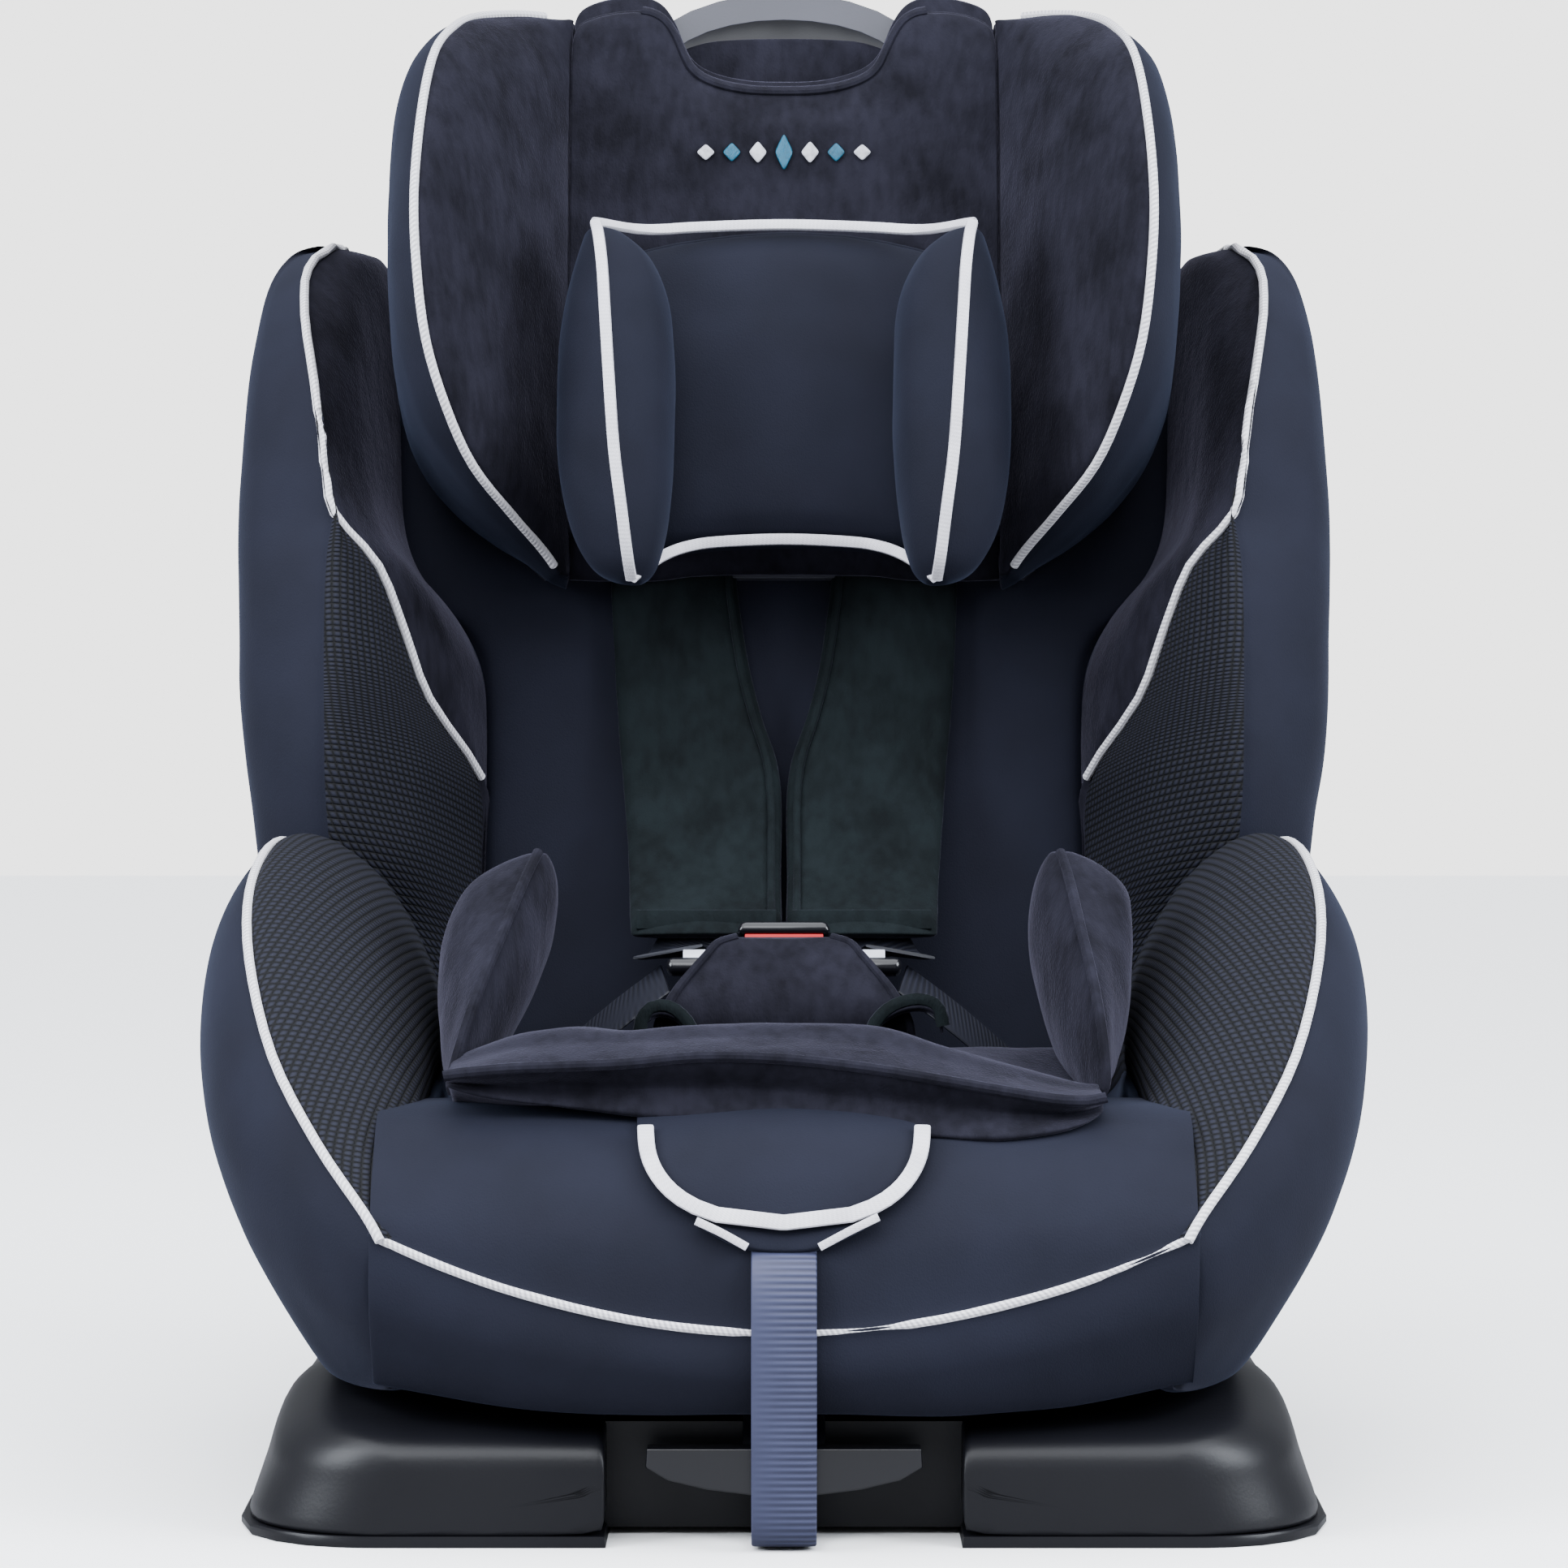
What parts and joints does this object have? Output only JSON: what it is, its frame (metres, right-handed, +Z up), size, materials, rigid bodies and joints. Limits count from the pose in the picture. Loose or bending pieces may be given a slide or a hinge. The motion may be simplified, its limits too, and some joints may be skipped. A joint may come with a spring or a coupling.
{
  "type": "convertible child car seat",
  "caption": "Reclining child car seat with side bolsters, a height-adjustable winged headrest, a head pillow, a seat insert and a five-point harness.",
  "frame": {"origin": "on the floor, under the middle of the object", "axes": "+Z up, the seat faces -Y, +X to the right of someone looking at the seat's front"},
  "size_m": [0.478, 0.513, 0.6553],
  "materials": {
    "base_plastic": "fine grained, satin",
    "shell_plastic": "fine grained, satin",
    "gloss_plastic": "polished",
    "grey_plastic": "satin",
    "red_plastic": "polished",
    "steel": "zinc plated",
    "jersey": "close knitted jersey over foam",
    "velour": "short pile velour over foam",
    "webbing": "ribbed polyester webbing"
  },
  "bodies": {
    "base": {"base_plate": "base_plastic", "base_shell": "base_plastic", "base_rail_left": "steel", "base_rail_right": "steel", "recline_rack": "steel"},
    "seat": {"adjuster_bezel": "gloss_plastic", "adjuster_housing": "gloss_plastic", "adjuster_strap": "webbing", "back_bolt_left": "steel", "back_bolt_right": "steel", "back_cushion": "jersey", "back_shell": "shell_plastic", "buckle_housing": "gloss_plastic", "crotch_anchor": "steel", "crotch_pad": "velour", "crotch_strap": "webbing", "harness_yoke": "steel", "insert_wing_left": "velour", "insert_wing_right": "velour", "lap_strap_left": "webbing", "lap_strap_right": "webbing", "lever_spring": "steel", "seat_bolster_left": "jersey", "seat_bolster_right": "jersey", "seat_cushion": "jersey", "seat_insert": "velour", "seat_runner_left": "shell_plastic", "seat_runner_right": "shell_plastic", "seat_shell": "shell_plastic", "shoulder_pad_left": "velour", "shoulder_pad_right": "velour", "shoulder_strap_left": "webbing", "shoulder_strap_right": "webbing", "tongue_left": "steel", "tongue_right": "steel", "torso_wing_left": "velour", "torso_wing_right": "velour", "yoke_strap": "webbing"},
    "recline_lever": {"recline_lever": "gloss_plastic", "recline_pull_rod": "steel", "recline_latch": "steel"},
    "headrest": {"headrest_shell": "shell_plastic", "head_cushion": "velour", "head_wing_left": "velour", "head_wing_right": "velour", "head_pillow": "jersey", "pillow_wing_left": "jersey", "pillow_wing_right": "jersey", "belt_guide_left": "red_plastic", "belt_guide_right": "red_plastic"},
    "headrest_release": {"headrest_release": "grey_plastic", "release_rod": "steel", "latch_pin": "steel"},
    "buckle_button": {"buckle_button": "red_plastic"},
    "adjuster_button": {"adjuster_button": "grey_plastic"},
    "adjuster_flap": {"adjuster_flap": "jersey"}
  },
  "joints": [
    {"name": "recline", "type": "hinge", "parent": "base", "child": "seat", "pos_m": [0, 0, 0.6], "axis": [-1, 0, 0], "range_deg": [0, 12]},
    {"name": "lever_pull", "type": "slide", "parent": "seat", "child": "recline_lever", "axis": [0, -1, 0], "range_m": [0, 0.012], "stiffness_N_per_m": 500, "springref_m": -0.008},
    {"name": "headrest_height", "type": "slide", "parent": "seat", "child": "headrest", "axis": [0, 0.2419, 0.9703], "range_m": [0, 0.15]},
    {"name": "headrest_release_lift", "type": "slide", "parent": "headrest", "child": "headrest_release", "axis": [0, 0.2419, 0.9703], "range_m": [0, 0.005], "stiffness_N_per_m": 1200, "springref_m": -0.003},
    {"name": "buckle_press", "type": "slide", "parent": "seat", "child": "buckle_button", "axis": [0, 0.9063, -0.4226], "range_m": [0, 0.0035], "stiffness_N_per_m": 1500, "springref_m": -0.001},
    {"name": "adjuster_press", "type": "slide", "parent": "seat", "child": "adjuster_button", "axis": [0, 1, 0], "range_m": [0, 0.0035], "stiffness_N_per_m": 1500, "springref_m": -0.001},
    {"name": "flap_lift", "type": "hinge", "parent": "seat", "child": "adjuster_flap", "pos_m": [0, -0.198, 0.1672], "axis": [-1, 0, 0], "range_deg": [0, 75]}
  ]
}
